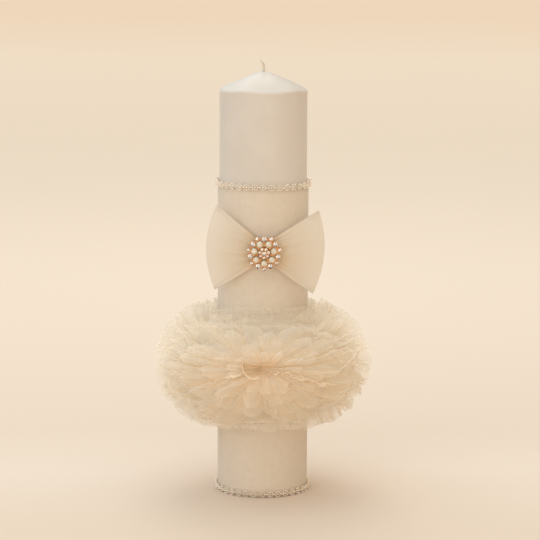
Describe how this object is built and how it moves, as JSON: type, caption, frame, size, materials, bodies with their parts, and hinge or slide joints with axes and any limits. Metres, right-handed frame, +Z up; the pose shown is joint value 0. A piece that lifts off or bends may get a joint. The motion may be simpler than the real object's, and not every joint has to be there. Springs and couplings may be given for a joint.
{
  "type": "unity candle",
  "caption": "Wax pillar candle with a cone top in a fabric sleeve, with pearl trims, a ribbon bow with a jewelled brooch and a full gathered tulle ring round its lower half.",
  "frame": {"origin": "centre of the candle foot, on the surface it stands on", "axes": "+Z up along the candle, -Y towards the front, where the bow and brooch are"},
  "size_m": [0.1788, 0.1788, 0.3491],
  "materials": {
    "wax": "satin",
    "cotton_wick": "matte",
    "tinned_steel": "satin",
    "sleeve_cloth": "matte",
    "trim_pearl": "gloss",
    "thread": "matte",
    "organza": "satin",
    "rose_gold": "polished",
    "pearl": "gloss",
    "rhinestone": "polished",
    "gather_tape": "matte",
    "tulle": "matte"
  },
  "bodies": {
    "root": {"bow_binding_thread": "thread", "bow_centre_band": "organza", "bow_left_loop": "organza", "bow_right_loop": "organza", "brooch_base": "rose_gold", "brooch_centre_cup": "rose_gold", "brooch_centre_stone": "rhinestone", "brooch_inner_cups": "rose_gold", "brooch_inner_stones": "rhinestone", "brooch_large_cups": "rose_gold", "brooch_large_stones": "rhinestone", "brooch_pearl_cups": "rose_gold", "brooch_pearls": "pearl", "brooch_shank": "rose_gold", "brooch_small_cups": "rose_gold", "brooch_small_stones": "rhinestone", "candle_body": "wax", "fabric_sleeve": "sleeve_cloth", "lower_trim_centres": "trim_pearl", "lower_trim_links": "trim_pearl", "lower_trim_petals": "trim_pearl", "lower_trim_thread": "thread", "tulle_gather_band": "gather_tape", "tulle_gathering_thread": "thread", "tulle_tier_1": "tulle", "tulle_tier_2": "tulle", "tulle_tier_3": "tulle", "tulle_tier_4": "tulle", "tulle_tier_5": "tulle", "tulle_tier_6": "tulle", "upper_trim_centres": "trim_pearl", "upper_trim_links": "trim_pearl", "upper_trim_petals": "trim_pearl", "upper_trim_thread": "thread", "wick": "cotton_wick", "wick_sustainer": "tinned_steel"}
  },
  "joints": []
}
